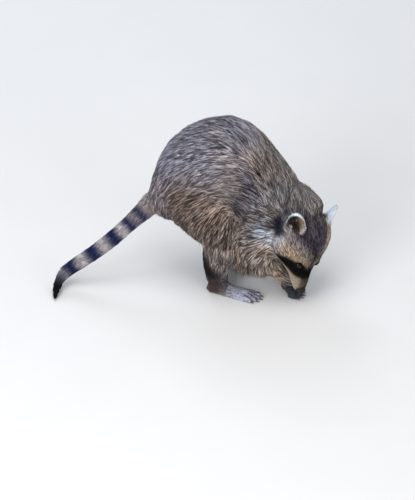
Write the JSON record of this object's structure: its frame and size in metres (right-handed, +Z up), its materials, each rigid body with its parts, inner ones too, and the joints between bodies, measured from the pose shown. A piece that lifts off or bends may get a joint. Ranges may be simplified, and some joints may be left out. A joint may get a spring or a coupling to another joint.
{
  "type": "raccoon, life-size still model",
  "caption": "Life-size still model of a raccoon foraging: back arched, head bent down between the forepaws, ringed tail swung out behind.",
  "frame": {"origin": "on the ground under the middle of the animal's bounding box", "axes": "+X the way the trunk faces, +Y the animal's left side, +Z up"},
  "size_m": [0.4564, 0.2446, 0.305],
  "materials": {
    "fur_grizzled": "long grizzled grey-brown guard hair over paler underfur",
    "fur_legs": "shorter brown-grey fur, darkest at the back of the lower leg",
    "fur_tail": "long fur in dark and pale rings with a black tip",
    "fur_face": "short cream and brown fur with a black mask across the eyes",
    "fur_ears": "short fur, dark hollow and whitish rim",
    "fur_feet": "short pale silver-grey fur",
    "nose_skin": "moist black bare skin",
    "eye": "wet dark brown eye",
    "claw": "dull dark horn"
  },
  "bodies": {
    "root": {"head": "fur_face", "nose": "nose_skin", "neck": "fur_grizzled", "chest": "fur_grizzled", "loin": "fur_grizzled", "rump": "fur_grizzled", "tail_1": "fur_tail", "tail_2": "fur_tail", "tail_3": "fur_tail", "tail_4": "fur_tail", "ear_right": "fur_ears", "eye_right": "eye", "thigh_right": "fur_grizzled", "shank_right": "fur_legs", "hind_foot_right": "fur_feet", "upper_arm_right": "fur_grizzled", "forearm_right": "fur_legs", "hand_right": "fur_feet", "hind_claw_right_1": "claw", "hind_claw_right_2": "claw", "hind_claw_right_3": "claw", "hind_claw_right_4": "claw", "hind_claw_right_5": "claw", "fore_claw_right_1": "claw", "fore_claw_right_2": "claw", "fore_claw_right_3": "claw", "fore_claw_right_4": "claw", "fore_claw_right_5": "claw", "ear_left": "fur_ears", "eye_left": "eye", "thigh_left": "fur_grizzled", "shank_left": "fur_legs", "hind_foot_left": "fur_feet", "upper_arm_left": "fur_grizzled", "forearm_left": "fur_legs", "hand_left": "fur_feet", "hind_claw_left_1": "claw", "hind_claw_left_2": "claw", "hind_claw_left_3": "claw", "hind_claw_left_4": "claw", "hind_claw_left_5": "claw", "fore_claw_left_1": "claw", "fore_claw_left_2": "claw", "fore_claw_left_3": "claw", "fore_claw_left_4": "claw", "fore_claw_left_5": "claw"}
  },
  "joints": []
}
